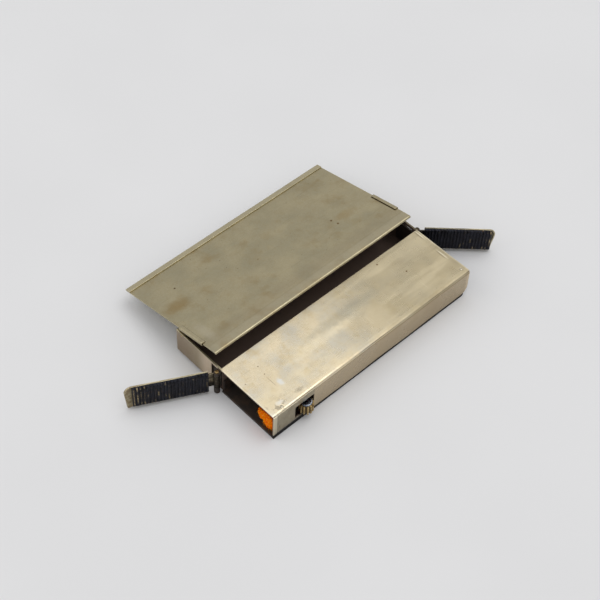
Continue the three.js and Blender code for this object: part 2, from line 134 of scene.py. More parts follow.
# Tinder cord
STRANDS = 5
STRAND_SHARE = 0.56
STRAND_TWIST = radians(8)
CORD_VOXEL = 0.16
CORD_SEAT = 0.32
FLAT_PAST_WHEEL = 12.6
FLAT_FADE = 3.4
FIBRES = 420
FIBRE_RADIUS = 0.035


def millimetre_box(node):
    low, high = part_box(node)
    return low / MM, high / MM


def box_middle(node):
    return sum(millimetre_box(node), Vector()) / 2


def joint_named(name):
    return next(joint for joint in frame["joints"] if joint["name"] == name)


# The lid's and its carrier's own frame: y back along the lid, z out of it, from the pivot
PIVOT = Vector(joint_named("lid_tilt")["pos_m"]) / MM
LID_BACK = -Vector(joint_named("lid_slide")["axis"]).normalized()
LID_OUT = Vector((1, 0, 0)).cross(LID_BACK)


def lid_place(x, y, z):
    return Vector((x, PIVOT.y, PIVOT.z)) + LID_BACK * y + LID_OUT * z


def lid_box(node):
    solid = frame["nodes"][node]
    places = [corner.co / MM - Vector((0, PIVOT.y, PIVOT.z)) for corner in solid.data.vertices]
    spans = [(place.x, place.dot(LID_BACK), place.dot(LID_OUT)) for place in places]
    return Vector(map(min, *spans)), Vector(map(max, *spans))


TRAY_LOW, TRAY_HIGH = millimetre_box("rear_tray")
COVER_LOW, COVER_HIGH = millimetre_box("front_cover")
WHEEL_LOW, WHEEL_HIGH = millimetre_box("feed_wheel")
WHEEL_RADIUS = (WHEEL_HIGH.y - WHEEL_LOW.y) / 2


def smooth(low, high, value):
    share = min(1.0, max(0.0, (value - low) / (high - low)))
    return share * share * (3 - 2 * share)


def wobble(size, *place):
    return noise.noise(Vector([part / size for part in place]))


def steps(low, high, count):
    return [low + (high - low) * step / count for step in range(count + 1)]


def circle(radius, sides):
    turns = [2 * pi * side / sides for side in range(sides)]
    return [(radius * cos(turn), radius * sin(turn)) for turn in turns]


def linear(colour):
    shares = [part / 255 for part in colour]
    lit = [share / 12.92 if share <= 0.04045 else ((share + 0.055) / 1.055) ** 2.4 for share in shares]
    return (*lit, 1)


# The nodes of a material or a world
class Nodes:
    def __init__(self, name, owners=bpy.data.materials):
        self.owner = owners.new(name)
        self.owner.use_nodes = True
        self.tree = self.owner.node_tree
        self.tree.nodes.clear()

    # Joins another socket to this one, or gives it a value: a colour has three whole numbers
    def feed(self, socket, value):
        if isinstance(value, bpy.types.NodeSocket):
            self.tree.links.new(value, socket)
        elif socket.type == "RGBA":
            socket.default_value = linear(value)
        else:
            socket.default_value = value

    # Adds a node, feeds its inputs by name or number, and gives one of its outputs
    def make(self, kind, output, inputs=None, **settings):
        node = self.tree.nodes.new("ShaderNode" + kind)
        for key, value in settings.items():
            setattr(node, key, value)
        for key, value in (inputs or {}).items():
            self.feed(node.inputs[key], value)
        return node.outputs[output]

    # Adds the last node, which shows the surface, and gives the finished material or world
    def close(self, kind, surface):
        self.feed(self.tree.nodes.new("ShaderNode" + kind).inputs["Surface"], surface)
        return self.owner

    def math(self, operation, first, second=0.0):
        return self.make("Math", "Value", {0: first, 1: second}, operation=operation)

    def chain(self, operation, values):
        total = values[0]
        for value in values[1:]:
            total = self.math(operation, total, value)
        return total

    def times(self, *values):
        return self.chain("MULTIPLY", values)

    def plus(self, *values):
        return self.chain("ADD", values)

    def most(self, *values):
        return self.chain("MAXIMUM", values)

    def vector_math(self, operation, first, second=(0, 0, 0), result="Vector"):
        return self.make("VectorMath", result, {0: first, 1: second}, operation=operation)

    def millimetres(self, stretch=(1, 1, 1)):
        place = self.make("TexCoord", "Object")
        return self.vector_math("MULTIPLY", place, [part / MM for part in stretch])

    def noise(self, size, detail=4, rough=0.55, stretch=(1, 1, 1), shift=0.0):
        place = self.millimetres(stretch)
        inputs = {"Vector": place, "Scale": 1 / size, "Detail": detail, "Roughness": rough, "W": shift}
        return self.make("TexNoise", "Fac", inputs, noise_dimensions="4D")

    # A smooth rise while a value goes from low to high: given are value, low, high and, if not 0 and 1,
    # the two results
    def ramp(self, *parts):
        inputs = dict(enumerate(parts))
        return self.make("MapRange", "Result", inputs, clamp=True, interpolation_type="SMOOTHSTEP")

    # Noise of a size in millimetres, ramped
    def patchy(self, size, low, high, start=0.0, end=1.0, **kind):
        return self.ramp(self.noise(size, **kind), low, high, start, end)

    def mix(self, share, first, second):
        inputs = {MIX_SHARE: share, MIX_FIRST: first, MIX_SECOND: second}
        return self.make("Mix", MIX_RESULT, inputs, data_type="RGBA")

    # Coats of paint, each a colour after the shares that make its own
    def layers(self, colour, coats):
        for *shares, tint in coats:
            colour = self.mix(self.times(*shares), colour, tint)
        return colour

    def axes(self):
        place = self.millimetres()
        return [self.make("SeparateXYZ", name, {"Vector": place}) for name in "XYZ"]

    # The same place in the lid's own frame
    def lid_axes(self):
        away = self.vector_math("SUBTRACT", self.millimetres(), (0, PIVOT.y, PIVOT.z))
        ways = (LID_BACK, LID_OUT)
        return [self.axes()[0]] + [self.vector_math("DOT_PRODUCT", away, way, "Value") for way in ways]

    def joined(self, *parts):
        return self.make("CombineXYZ", "Vector", dict(enumerate(parts)))

    # 1 inside the spans that are given in millimetres, else 0
    def within(self, x=None, y=None, z=None, axes=None, soft=0.01):
        shares = []
        for value, span in zip(axes or self.axes(), (x, y, z)):
            if span:
                shares.append(self.ramp(value, span[0] - soft, span[0] + soft))
                shares.append(self.ramp(value, span[1] - soft, span[1] + soft, 1, 0))
        return self.times(*shares)

    # A ragged spot round a place in millimetres, drawn out along an axis by a small stretch
    def spot(self, place, radius, stretch=(1, 1, 1), ragged=0.5, axes=None):
        away = self.vector_math("SUBTRACT", self.joined(*(axes or self.axes())), place)
        length = self.vector_math("LENGTH", self.vector_math("MULTIPLY", away, stretch), result="Value")
        rough = self.times(self.noise(max(0.2, radius), detail=3, shift=radius), 2 * ragged * radius)
        edge = radius * (1 + ragged)
        return self.ramp(self.plus(length, rough), edge * 0.6, edge * 1.3, 1, 0)

    # A spot as a coat of paint
    def mark(self, place, radius, colour, share=1.0, stretch=(1, 1, 1), ragged=0.5, axes=None):
        return self.spot(place, radius, stretch, ragged, axes), share, colour

    def painted(self, name):
        return self.make("Attribute", "Fac", attribute_name=name)

    def worn_edge(self, radius):
        soft = self.make("Bevel", "Normal", {"Radius": radius * MM}, samples=6)
        alike = self.vector_math("DOT_PRODUCT", soft, self.make("NewGeometry", "Normal"), "Value")
        return self.ramp(self.math("SUBTRACT", 1.0, alike), 0.02, 0.25)

    def bump(self, *heights):
        under = {}
        for height, depth in heights:
            inputs = {"Strength": 1, "Distance": depth * MM, "Height": height}
            under = {"Normal": self.make("Bump", "Normal", {**inputs, **under})}
        return under

    def finish(self, colour, roughness, metallic, under=None, scatter=0.0):
        inputs = {"Base Color": colour, "Roughness": roughness, "Metallic": metallic, **(under or {})}
        if scatter:
            inputs.update({
                "Specular IOR Level": 0.1,
                "Subsurface Weight": 1,
                "Subsurface Radius": (1, 0.5, 0.25),
                "Subsurface Scale": scatter * MM,
            })
        return self.close("OutputMaterial", self.make("BsdfPrincipled", "BSDF", inputs))


RUST = (104, 78, 46)
# A dark brown painted on the inside of the case as shade
INSIDE_SHADE = (88, 70, 62)
PALE = (255, 246, 220)
ALONG_X = (0.14, 1, 1)
ALONG_Y = (1, 0.12, 1)


# Worn nickel plate: clouded, stained, grained and finely speckled with brown
def worn_nickel(n, clean, clouded, stain, shift=0.0, stains=0.6, speckles=0.68):
    clouds = n.patchy(9, 0.38, 0.66, shift=shift)
    patches = n.patchy(5.5, 0.5, 0.74, detail=5, rough=0.58, shift=shift + 3)
    mottle = n.patchy(2.4, 0.5, 0.72, rough=0.6, shift=shift + 4)
    dots = n.patchy(0.8, speckles, speckles + 0.05, detail=2, shift=shift + 5)
    grain = n.patchy(0.42, 0.42, 0.62, 0, 0.22, detail=3, rough=0.7, shift=shift + 6)
    return n.layers(clean, [
        (clouds, clouded),
        (patches, stains, stain),
        (mottle, 0.3 * stains, stain),
        (grain, stain),
        (dots, 0.7, RUST),
    ])


# Rubbed edges, then the sheen: cloudy, brushed a little along the case. The inside is matt and painted dark as
# shade
def nickel_finish(n, colour, roughness, inside, shift=0.0, rub=0.7, relief=0.05, dull=0.0):
    outside = n.math("SUBTRACT", 1.0, inside)
    rubbed = n.patchy(1.6, 0.3, 0.6, 0.4 * rub, rub, shift=shift + 7)
    colour = n.layers(colour, [
        (n.worn_edge(0.16), rubbed, outside, PALE),
        # the inside painted dark brown as shade
        (inside, 0.96, INSIDE_SHADE),
    ])
    streaks = n.noise(0.3, detail=3, stretch=(0.06, 1, 1), shift=shift + 9)
    haze = n.patchy(7, 0.35, 0.65, -0.07, 0.08, detail=5, rough=0.6, shift=shift + 10)
    rough = n.plus(haze, n.ramp(streaks, 0.3, 0.7, -0.015, 0.015), n.times(inside, 0.3), dull, roughness)
    cloudy = n.noise(8, detail=3, shift=shift + 11)
    fine = n.noise(0.6, detail=3, shift=shift + 13)
    return n.finish(colour, rough, outside, n.bump((cloudy, relief), (streaks, 0.001), (fine, 0.002)))


# Marks on the top plate, placed from its front left corner: streaks, creases at its right end painted as pale
# highlight lines with darker shade lines inboard, brown pits and pale scuffs
def top_marks(n):
    low, high = COVER_LOW, COVER_HIGH
    length = high.x - low.x
    brown = (134, 118, 92)
    chalk = (232, 230, 222)
    marks = [
        (28, 11.15, 1.7, (246, 232, 200), 0.6, ALONG_X, 0.6),
        (42, 13.55, 2.0, (168, 163, 146), 0.45, ALONG_X, 0.6),
        # the right end's creases: pale lines painted as highlights, brownish lines inboard painted as shade
        (length - 0.9, 20.1, 0.28, PALE, 0.6, ALONG_Y, 0.4),
        (length - 1.5, 10.2, 0.28, PALE, 0.6, ALONG_Y, 0.4),
        (length - 1.4, 20.1, 0.24, brown, 0.5, ALONG_Y, 0.4),
        (length - 2, 10.2, 0.24, brown, 0.5, ALONG_Y, 0.4),
        (8.6, 16.1, 0.2, RUST),
        (8.2, 12.9, 0.2, RUST),
        (1.8, 13.8, 0.18, RUST),
        (length - 19.3, 20.4, 0.28, RUST),
        (length - 14.5, 12.7, 0.28, RUST),
        (7.9, 10.2, 0.12, RUST, 0.8, (1, 0.045, 1), 0.2),
        (9.7, 8, 0.8, chalk, 1, (1, 0.6, 1), 0.8),
        (4.6, 2.9, 0.6, chalk, 0.7, (0.5, 1, 1), 0.9),
        (11.8, 2.5, 0.7, (116, 108, 94), 0.4, (0.5, 1, 1), 0.9),
    ]
    return [n.mark((low.x + along, low.y + back, high.z), *kind) for along, back, *kind in marks]


# The case's top plate and front wall: bright at the left, duller to the right, with a pale streak
def cover_nickel(n):
    low, high = COVER_LOW, COVER_HIGH
    x, y, z = n.axes()
    colour = worn_nickel(n, (234, 219, 188), (214, 208, 192), (206, 184, 138), stains=0.75, speckles=0.75)
    # pale bands along the case: partly stain, partly painted reflection
    bands = n.patchy(6, 0.47, 0.6, stretch=(0.16, 1, 1), shift=2)
    # darker patches where the plate is dented, painted as shade
    dent_shade = n.patchy(3, 0.55, 0.75, rough=0.6, stretch=(0.5, 1, 1), shift=6)
    front_left = n.times(n.ramp(y, low.y + 1.5, low.y + 6, 1, 0), n.ramp(x, low.x + 4, low.x + 14, 1, 0))
    dirt = n.patchy(1.2, 0.5, 0.62, 0, 0.55, detail=5, shift=8)
    scratches = n.patchy(0.5, 0.66, 0.7, detail=2, stretch=(0.05, 1, 1), shift=14)
    hairs = n.patchy(0.4, 0.68, 0.71, detail=2, stretch=(1, 0.06, 1), shift=15)
    wall = n.within(y=(low.y - 1, low.y + 0.2), z=(0, high.z - 0.75), soft=0.06)
    # a thin line just under the fold, painted darker as shade
    under_fold_shade = n.within(y=(low.y - 1, low.y + 0.2), z=(high.z - 1, high.z - 0.8), soft=0.07)
    right_end = n.within(x=(high.x - 1, high.x + 1), y=(low.y - 1, low.y + 1), z=(0, 9))
    ends = n.ramp(n.math("ABSOLUTE", x), high.x - 0.5, high.x - 0.25, 0, 0.3)
    colour = n.layers(colour, [
        (n.ramp(x, -20, 22, 0, 0.85), (182, 169, 138)),
        (bands, 0.3, (236, 222, 188)),
        (dent_shade, 0.22, (176, 168, 150)),
        (front_left, dirt, (120, 112, 98)),
        (scratches, 0.15, (150, 140, 116)),
        (hairs, 0.12, PALE),
        *top_marks(n),
        (wall, 0.85, (182, 164, 134)),
        (under_fold_shade, 0.5, (120, 106, 86)),
        (right_end, 0.5, (226, 206, 172)),
        (ends, n.ramp(z, high.z - 1, high.z - 0.5), PALE),
    ])
    inside = n.within(y=(low.y + 0.3, high.y + 1), z=(0, high.z - 0.3), soft=0.04)
    fold = n.within(y=(low.y - 1, low.y + 1.6), z=(high.z - 1.3, high.z + 1), soft=0.4)
    dull = n.times(fold, n.ramp(x, -32, 4, 0.09, 0.3))
    return nickel_finish(n, colour, 0.3, inside, rub=0.4, relief=0.065, dull=dull)


# Coats on the lid and its clips: bands along it, a painted shadow beside each clip, stains and dots
def lid_coats(n):
    axes = n.lid_axes()
    low, high = lid_box("lid_plate")
    clip_low, clip_high = lid_box("lid_carrier")
    crease = low.y + CREASE_FROM_FRONT
    top = high.z - LID_SHEET
    # a thin shadow painted on the lid along each clip's inner edge
    clip_shadow = n.within(
        (clip_high.x - CLIP_FOLD - 0.28, clip_high.x - CLIP_FOLD - 0.02), (clip_low.y, clip_high.y),
        (low.z, top + 0.02), [n.math("ABSOLUTE", axes[0]), *axes[1:]], 0.04)

    def band(start, end, soft, share, colour):
        spans = ((-high.x - 1, high.x + 1), (start, end), (low.z + 0.6, high.z + 0.5))
        return n.within(*spans, axes, soft), share, colour

    def stain(x, y, radius, colour, share=1.0, stretch=(1, 1, 1), ragged=0.5):
        return n.mark((x, y, top), radius, colour, share, stretch, ragged, axes)

    return [
        band(low.y + 0.8, crease, 0.5, 0.35, (180, 172, 154)),
        band(crease + 0.2, crease + 4, 1.6, 0.35, (150, 134, 112)),
        band(crease - 0.1, crease + 0.35, 0.2, 0.2, (140, 130, 106)),
        (n.patchy(0.5, 0.6, 0.7, 0, 0.25, detail=3, stretch=(0.05, 1, 1), shift=31), (150, 140, 112)),
        # the painted shadow along each clip's inner edge
        (clip_shadow, 0.85, (72, 64, 52)),
        band(high.y - HEM_WIDTH, high.y + 1, 0.03, 0.4, (206, 196, 166)),
        stain(-34, 8.6, 2.6, (150, 124, 76), 0.55, (0.55, 1, 1), 0.8),
        stain(27, 1, 1.8, (160, 134, 86), 0.35, (0.5, 1, 1), 0.9),
        stain(-29.4, 15.5, 0.3, (86, 62, 34)),
        stain(22.3, 2.1, 0.35, (110, 84, 46)),
        stain(22.7, -0.5, 0.35, (110, 84, 46)),
        stain(-35.5, -6.2, 1.6, (208, 200, 180), 0.28, (1, 0.35, 1)),
    ]


# The duller nickel of tray, lid, carrier and arms
def dull_nickel(n):
    low, high = TRAY_LOW, TRAY_HIGH
    x, y, z = n.axes()
    out = n.math("ABSOLUTE", x)
    colour = worn_nickel(
        n, (184, 174, 144), (173, 165, 138), (160, 140, 100), shift=20, stains=0.55, speckles=0.71)
    end_wall = n.times(
        n.ramp(out, high.x - 0.3, high.x - 0.2), n.ramp(out, high.x + 0.1, high.x + 0.3, 1, 0),
        n.ramp(z, high.z - 0.4, high.z - 0.3, 1, 0))
    # painted shade on the end walls, darker towards the rear and the bottom
    shade = n.times(end_wall, n.most(n.ramp(y, 7, 18, 0.3, 0.85), n.ramp(z, 0.5, 4, 0.8, 0)))
    end_rim = n.within(
        (high.x - 0.7, high.x + 0.2), (low.y - 1, low.y + 5.5), (high.z - 0.5, high.z + 1), soft=0.06)
    arm_rim = n.within((high.x + 0.1, 53), (-30, 2.5), (9, 10), soft=1.2)
    axis = Vector(joint_named("arm_right_swing")["pos_m"]) / MM
    foot = n.within((axis.x - 2.4, axis.x + 2.4), (axis.y - 2.4, axis.y + 2.4), (0, 4.6), [out, y, z], 0.5)
    barrel = n.spot((axis.x, axis.y, 5), 1.1, (1, 1, 0.08), 0.1, [out, y, z])
    knuckles = n.times(n.most(barrel, n.times(foot, 0.9)), n.ramp(out, high.x + 0.02, high.x + 0.06))
    left_neck = n.within((low.x - 3.2, low.x - 0.1), (0, 5), (0, 9), soft=0.3)
    right_neck = n.within((high.x + 0.1, high.x + 3.3), (0, 4), (0, 9.2), soft=0.3)
    tips = n.ramp(out, 57.5, 61.5, 0, 0.8)
    colour = n.layers(colour, [
        *lid_coats(n),
        (arm_rim, n.ramp(z, low.z + 9.1, low.z + 9.3), 0.9, (50, 46, 46)),
        (end_rim, 0.75, (66, 56, 48)),
        (shade, (150, 132, 112)),
        # the end walls' front part painted lighter, as light
        (end_wall, n.ramp(y, 7, 12, 0.8, 0), (228, 210, 188)),
        (left_neck, n.patchy(0.8, 0.4, 0.6, 0.5, 0.95, shift=36), (80, 69, 54)),
        (knuckles, n.patchy(0.9, 0.4, 0.58, 1, 0.75, shift=33), (30, 28, 30)),
        (right_neck, 0.95, (38, 36, 38)),
        (tips, n.patchy(1.1, 0.38, 0.64, detail=6, rough=0.7, shift=35), (122, 98, 66)),
    ])
    inside = n.within(
        (low.x + 0.25, high.x - 0.25), (low.y - 1, high.y - 0.25), (0.25, high.z - 0.05), soft=0.03)
    black = n.times(n.most(knuckles, right_neck), 0.25)
    return nickel_finish(n, colour, 0.4, inside, shift=20, rub=0.6, dull=black)


# Wheel panel: grey-beige, its raised left strip painted paler as a highlight, painted dark inside as shade
def panel_nickel(n):
    low, high = millimetre_box("wheel_panel")
    x, _, z = n.axes()
    colour = worn_nickel(n, (172, 162, 138), (150, 142, 124), (126, 112, 86), shift=40, stains=0.8)
    edge = low.x + PANEL_STRIP
    colour = n.layers(colour, [
        # the raised left strip painted paler as a highlight
        (n.ramp(x, edge - 0.1, edge + 0.1, 0.75, 0), (218, 209, 184)),
        n.mark((edge + 0.12, low.y, (low.z + high.z) / 2), 0.16, (84, 74, 60), 0.6, (1, 1, 0.04), 0.6),
        n.mark((low.x + 2.3, low.y, 4), 0.22, (52, 44, 36), 0.85, (1, 1, 0.25), 0.8),
        (n.ramp(z, low.z, 5.5, 0.45, 0), (140, 130, 110)),
    ])
    inside = n.within(y=(low.y + 0.3, high.y + 1), z=(0, high.z + 1), soft=0.04)
    return nickel_finish(n, colour, 0.34, inside, shift=40)


# Blackened steel: dark brown-black, blackest at the front, partly as painted shade under the front wall, rubbed to
# bare metal along its edges
def blackened_steel(n):
    front = COVER_LOW.y
    y = n.axes()[1]
    rubbed = n.patchy(1.1, 0.35, 0.65, 0, 0.5, shift=2)
    colour = n.layers((64, 57, 52), [
        (n.patchy(2.4, 0.45, 0.7, detail=5), (84, 68, 56)),
        (n.patchy(0.7, 0.6, 0.72, 0, 0.6, detail=5, rough=0.65, shift=3), (96, 84, 72)),
        # blackest at the front: partly the dark steel, partly painted shade under the front wall and the wheel
        # panel
        (n.ramp(y, front + 0.4, front + 1.4, 1, 0), (28, 26, 25)),
        (n.worn_edge(0.12), rubbed, n.ramp(y, front, front + 1.4, 0.2, 1), (140, 128, 108)),
    ])
    rough = n.patchy(0.8, 0.3, 0.7, 0.42, 0.62, shift=4)
    return n.finish(colour, rough, 0.6, n.bump((n.noise(0.5, shift=6), 0.012)))


# Blued striker steel: its crests rubbed bare where the mesh says so
def blued_steel(n):
    rust = n.times(n.patchy(0.8, 0.6, 0.7, 0, 0.75, shift=3), n.painted("rusty"))
    edges = n.times(n.worn_edge(0.06), n.patchy(0.8, 0.45, 0.6, 0, 0.35, shift=2))
    rubbed = n.times(n.painted("rubbed"), n.patchy(0.4, 0.42, 0.56, detail=5, rough=0.7, shift=1))
    colour = n.layers((42, 43, 51), [
        (n.patchy(1.4, 0.42, 0.68, detail=5), (33, 32, 35)),
        (rust, (96, 68, 44)),
        (edges, (104, 104, 112)),
        (rubbed, (176, 158, 122)),
    ])
    rough = n.patchy(0.5, 0.3, 0.7, 0.34, 0.56, shift=4)
    return n.finish(colour, rough, 0.85, n.bump((n.noise(0.25, detail=5, shift=6), 0.02)))


# Small bare parts: tarnished in patches, freckled with brown, dark between the teeth and at the hinge pins, the
# collar's dish painted blue-grey as a reflection
def bare_metal(n, base, dull, roughness, freckle):
    x, y, z = n.axes()
    wheel = box_middle("feed_wheel")
    spoke = n.joined(n.math("SUBTRACT", x, wheel.x), n.math("SUBTRACT", y, wheel.y))
    radius = n.vector_math("LENGTH", spoke, result="Value")
    teeth = n.ramp(z, WHEEL_HIGH.z - 0.1, WHEEL_HIGH.z, 1, 0)
    below_plate = n.ramp(z, COVER_HIGH.z - 1, COVER_HIGH.z - 0.9, 1, 0)
    collar = n.times(n.ramp(z, WHEEL_HIGH.z, WHEEL_HIGH.z + 0.1), below_plate)
    left_pin = n.ramp(x, TRAY_LOW.x - 0.2, TRAY_LOW.x - 0.1, 0.7, 0)
    colour = n.layers(base, [
        (n.patchy(0.9, 0.4, 0.66, detail=5), dull),
        (n.patchy(0.45, 0.56, 0.72, 0, freckle, shift=2), RUST),
        (teeth, n.ramp(radius, WHEEL_RADIUS - 0.45, WHEEL_RADIUS - 0.2, 0.75, 0), (58, 44, 30)),
        # the collar's dish painted blue-grey as a reflection of the dark inside of the case
        (collar, n.ramp(radius, 1.05, 1.3, 0.5, 0), (122, 130, 146)),
        (n.ramp(z, COVER_HIGH.z - 0.3, COVER_HIGH.z - 0.2, 0, 0.8), (206, 194, 166)),
        (left_pin, n.patchy(0.5, 0.35, 0.6, 1, 0.7, shift=8), (76, 52, 30)),
        (n.ramp(x, TRAY_HIGH.x + 0.1, TRAY_HIGH.x + 0.2, 0, 0.92), (52, 46, 40)),
    ])
    rough = n.patchy(0.5, 0.3, 0.7, roughness - 0.06, roughness + 0.08, detail=3, shift=3)
    return n.finish(colour, rough, 1, n.bump((n.noise(0.3, shift=5), 0.008)))


# Orange cotton: mottled, flecked, and painted a shaded dark red in its hollows and along its top
def tinder_fabric(n):
    flecks = n.patchy(0.3, 0.55, 0.68, shift=5)
    colour = n.layers((240, 130, 14), [
        (n.patchy(0.7, 0.36, 0.64, detail=6, rough=0.65), (234, 104, 2)),
        (flecks, 0.75, (178, 56, 1)),
        # painted shade: dark red in the hollows between strands and along the top, under the top plate
        (n.painted("cord_shade"), 0.9, (122, 32, 2)),
    ])
    return n.finish(colour, 0.95, 0, n.bump((n.noise(0.12), 0.08)), scatter=0.25)


# The function that paints each slot, and what it is told
SLOTS = {
    "nickel_plate": (cover_nickel,),
    "nickel_plate_dull": (dull_nickel,),
    "nickel_plate_dark": (panel_nickel,),
    "blackened_steel": (blackened_steel,),
    "blued_steel": (blued_steel,),
    "spring_steel": (bare_metal, (170, 174, 180), (130, 132, 136), 0.35, 0.6),
    "bright_steel": (bare_metal, (178, 186, 200), (98, 106, 120), 0.24, 0.2),
    "brass": (bare_metal, (192, 168, 118), (122, 98, 60), 0.36, 0.8),
    "tinder_cotton": (tinder_fabric,),
}
MATERIALS = {slot: finish(Nodes(slot), *told) for slot, (finish, *told) in SLOTS.items()}


def add_object(name, data):
    thing = bpy.data.objects.new(name, data)
    bpy.context.scene.collection.objects.link(thing)
    return thing


def new_object(name, corners, faces):
    data = bpy.data.meshes.new(name)
    data.from_pydata([Vector(corner) * MM for corner in corners], [], faces)
    data.validate()
    return add_object(name, data)


def face_outwards(thing):
    build = bmesh.new()
    build.from_mesh(thing.data)
    bmesh.ops.recalc_face_normals(build, faces=build.faces)
    build.to_mesh(thing.data)
    build.free()


# Corners and faces of a skin over closed loops of equal count, with its two ends closed
def loft(loops, ring=False):
    count = len(loops[0])
    corners = [point for loop in loops for point in loop]
    faces = []
    rows = len(loops) if ring else len(loops) - 1
    for row in range(rows):
        start, after = row * count, ((row + 1) % len(loops)) * count
        for column in range(count):
            beside = (column + 1) % count
            faces.append((start + column, start + beside, after + beside, after + column))
    if not ring:
        faces.append(tuple(reversed(range(count))))
        faces.append(tuple(range((len(loops) - 1) * count, len(loops) * count)))
    return corners, faces


def lofted(name, loops, ring=False):
    thing = new_object(name, *loft(loops, ring))
    face_outwards(thing)
    return thing


def block(low, high):
    rectangle = [(low[0], low[1]), (high[0], low[1]), (high[0], high[1]), (low[0], high[1])]
    return [[(x, y, z) for x, y in rectangle] for z in (low[2], high[2])]


def upright_rod(radius, bottom, top, centre, sides=32):
    return [[(centre.x + x, centre.y + y, z) for x, y in circle(radius, sides)] for z in (bottom, top)]


# Points of a closed or open line whose corners [a, b, radius] are rounded by arcs
def rounded(corners, arc_steps=5, closed=True):
    points = []
    last = len(corners) - 1
    for index, corner in enumerate(corners):
        here = Vector(corner[:2])
        radius = corner[2] if len(corner) > 2 else 0
        if not radius or (not closed and index in (0, last)):
            points.append(here)
            continue
        before = (Vector(corners[index - 1][:2]) - here).normalized()
        after = (Vector(corners[(index + 1) % len(corners)][:2]) - here).normalized()
        half = acos(max(-1, min(1, before.dot(after)))) / 2
        centre = here + (before + after).normalized() * (radius / sin(half))
        start = here + before * (radius / tan(half)) - centre
        end = here + after * (radius / tan(half)) - centre
        turn = atan2(start.x * end.y - start.y * end.x, start.dot(end))
        for step in range(arc_steps + 1):
            points.append(centre + Matrix.Rotation(turn * step / arc_steps, 2) @ start)
    return points


# More points along a line, so that none lie further apart than the step
def refined(points, step, closed=False):
    fine = []
    count = len(points) if closed else len(points) - 1
    for index in range(count):
        here, after = points[index], points[(index + 1) % len(points)]
        parts = max(1, ceil((after - here).length / step))
        fine.extend(here.lerp(after, part / parts) for part in range(parts))
    if not closed:
        fine.append(points[-1])
    return fine


# Unit normals to the left of an open line
def normals(points):
    sides = []
    for index in range(len(points)):
        along = points[min(index + 1, len(points) - 1)] - points[max(index - 1, 0)]
        sides.append(Vector((-along.y, along.x)).normalized())
    return sides


def modify(thing, kind, **settings):
    modifier = thing.modifiers.new(kind.lower(), kind)
    for name, value in settings.items():
        setattr(modifier, name, value)


# Makes a thing's modifiers final
def settle(thing):
    graph = bpy.context.evaluated_depsgraph_get()
    data = bpy.data.meshes.new_from_object(thing.evaluated_get(graph))
    thing.modifiers.clear()
    old = thing.data
    thing.data = data
    bpy.data.meshes.remove(old)


def combine(thing, operation, *shapes):
    for loops in shapes:
        other = lofted("other", loops)
        modify(thing, "BOOLEAN", operation=operation, solver="MANIFOLD", object=other)
        settle(thing)
        bpy.data.objects.remove(other)


def add_bevel(thing, width, angle):
    modify(thing, "BEVEL", width=width * MM, segments=2, limit_method="ANGLE",
           angle_limit=radians(angle), miter_outer="MITER_ARC")


def shade_smooth(data):
    for polygon in data.polygons:
        polygon.use_smooth = True


def weigh_normals(thing):
    shade_smooth(thing.data)
    modify(thing, "WEIGHTED_NORMAL", keep_sharp=True)


# Small rounds on every sharp edge, then smooth shading that keeps the corners
def round_edges(thing, width, angle=30):
    if width:
        add_bevel(thing, width, angle)
        settle(thing)
    weigh_normals(thing)
    settle(thing)


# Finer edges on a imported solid: its flat faces made whole, its edges rounded a little
def soften(node, width):
    solid = frame["nodes"][node]
    modify(solid, "WELD", merge_threshold=0.002 * MM)
    modify(solid, "DECIMATE", decimate_type="DISSOLVE", angle_limit=radians(0.6))
    add_bevel(solid, width, 28)
    weigh_normals(solid)


def paint(thing, name, values):
    thing.data.attributes.new(name, "FLOAT", "POINT").data.foreach_set("value", values)


def dress(thing, slot, body, *nodes):
    thing.data.materials.clear()
    thing.data.materials.append(MATERIALS[slot])
    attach(thing, body)
    if nodes:
        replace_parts(thing, *nodes)
    return thing


# Front cover: one sheet, the top plate folded down into the right-hand length of the front wall
def front_cover():
    low, high = COVER_LOW, COVER_HIGH
    panel_end = millimetre_box("wheel_panel")[1].x + SEAM
    line = rounded([(low.y, low.z), (low.y, high.z, FOLD_RADIUS), (high.y, high.z)], 7, closed=False)
    line = refined(line, 1.1)

    # How far the sheet is sunk: in soft waves, and bent down a little at its ends
    def shift(x, point):
        rise = 0.09 * wobble(13, x, point.x, point.y) + 0.02 * wobble(3.5, x, point.x, point.y + 40)
        sag = smooth(high.x - 1.7, high.x, abs(x)) * (0.05 + 0.05 * wobble(4, x, point.x, 7))
        bent = high.x - 1.4 + 0.4 * wobble(4, point.x, 3, 5)
        sag += 0.06 * smooth(bent, bent + 0.8, x) * smooth(low.y + 3, low.y + 7, point.x)
        return min(0, rise - 0.06) - sag

    loops = []
    for x in steps(low.x, high.x, 110):
        outer, inner = [], []
        for point, side in zip(line, normals(line)):
            sunk = shift(x, point)
            outer.append((x, *(point + side * sunk)))
            inner.append((x, *(point - side * (SHEET - sunk))))
        loops.append(outer + inner[::-1])
    thing = lofted("front_cover_sheet", loops)
    panel_room = block((low.x - 1, low.y - 1, 0), (panel_end, low.y + SHEET + 0.6, high.z - SHEET))
    corner = [(high.x + 1, low.z - 1), (high.x + 1, low.z + WALL_CORNER)]
    for angle in steps(0, pi / 2, 8):
        inset, rise = WALL_CORNER * (1 - cos(angle)), WALL_CORNER * (1 - sin(angle))
        corner.append((high.x - inset, low.z + rise))
    corner.append((high.x - WALL_CORNER, low.z - 1))
    corner_cut = [[(x, y, z) for x, z in corner] for y in (low.y - 1, low.y + 1)]
    rivets = (box_middle("cover_rivet_left"), box_middle("cover_rivet_right"))
    holes = [upright_rod(RIVET_HOLE, high.z - 1, high.z + 1, rivet) for rivet in rivets]
    combine(thing, "DIFFERENCE", panel_room, corner_cut, *holes)
    round_edges(thing, 0.07)
    return dress(thing, "nickel_plate", "case", "front_cover")


